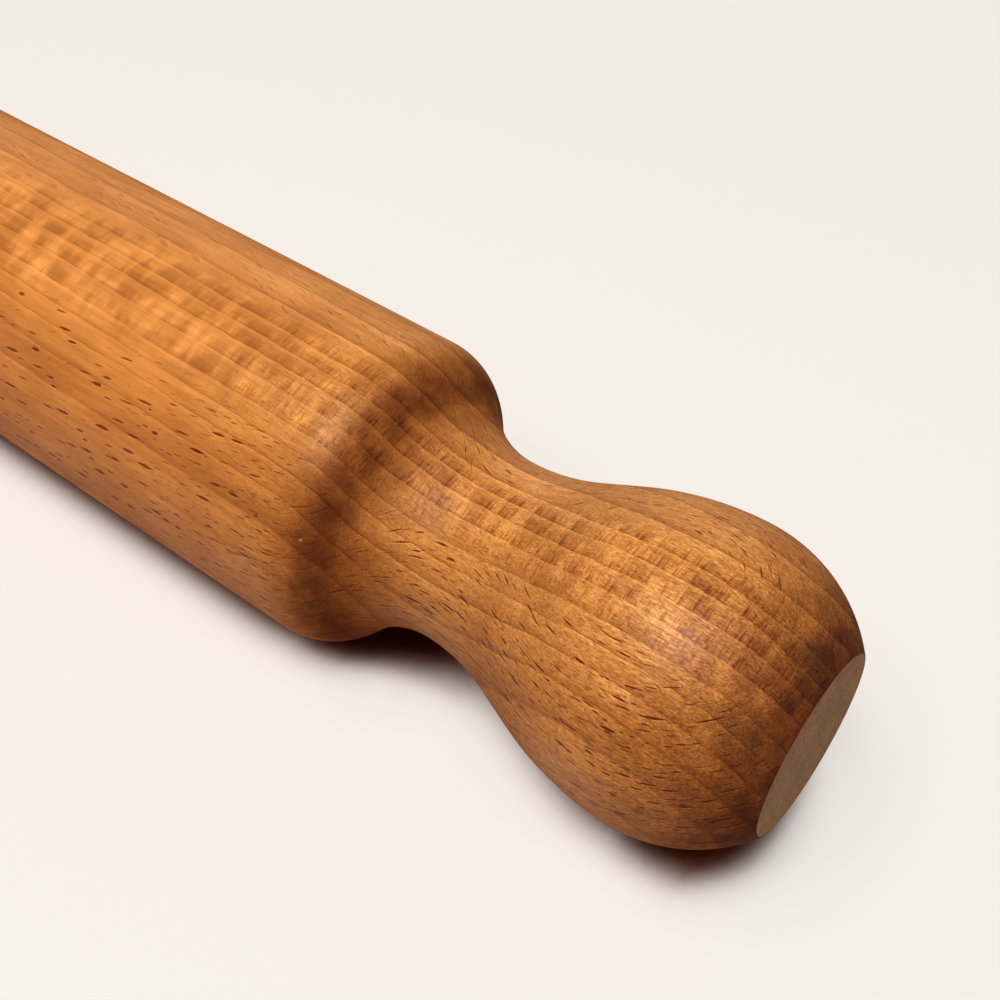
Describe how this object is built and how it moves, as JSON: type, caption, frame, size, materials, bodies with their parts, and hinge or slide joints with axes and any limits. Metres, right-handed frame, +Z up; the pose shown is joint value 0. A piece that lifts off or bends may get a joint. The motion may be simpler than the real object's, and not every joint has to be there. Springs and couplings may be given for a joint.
{
  "type": "french rolling pin",
  "caption": "One-piece turned wooden rolling pin with a straight barrel, and at each end a round shoulder, a waisted neck and a flared knob with a flat end.",
  "frame": {"origin": "centre of the pin, on its axis midway between the two end faces", "axes": "X along the pin's axis, towards the handle that the picture shows; +Z up with the pin lying on its barrel"},
  "size_m": [0.4, 0.05, 0.05],
  "materials": {
    "beech": "satin, oiled"
  },
  "bodies": {
    "root": {"rolling_pin": "beech"}
  },
  "joints": []
}
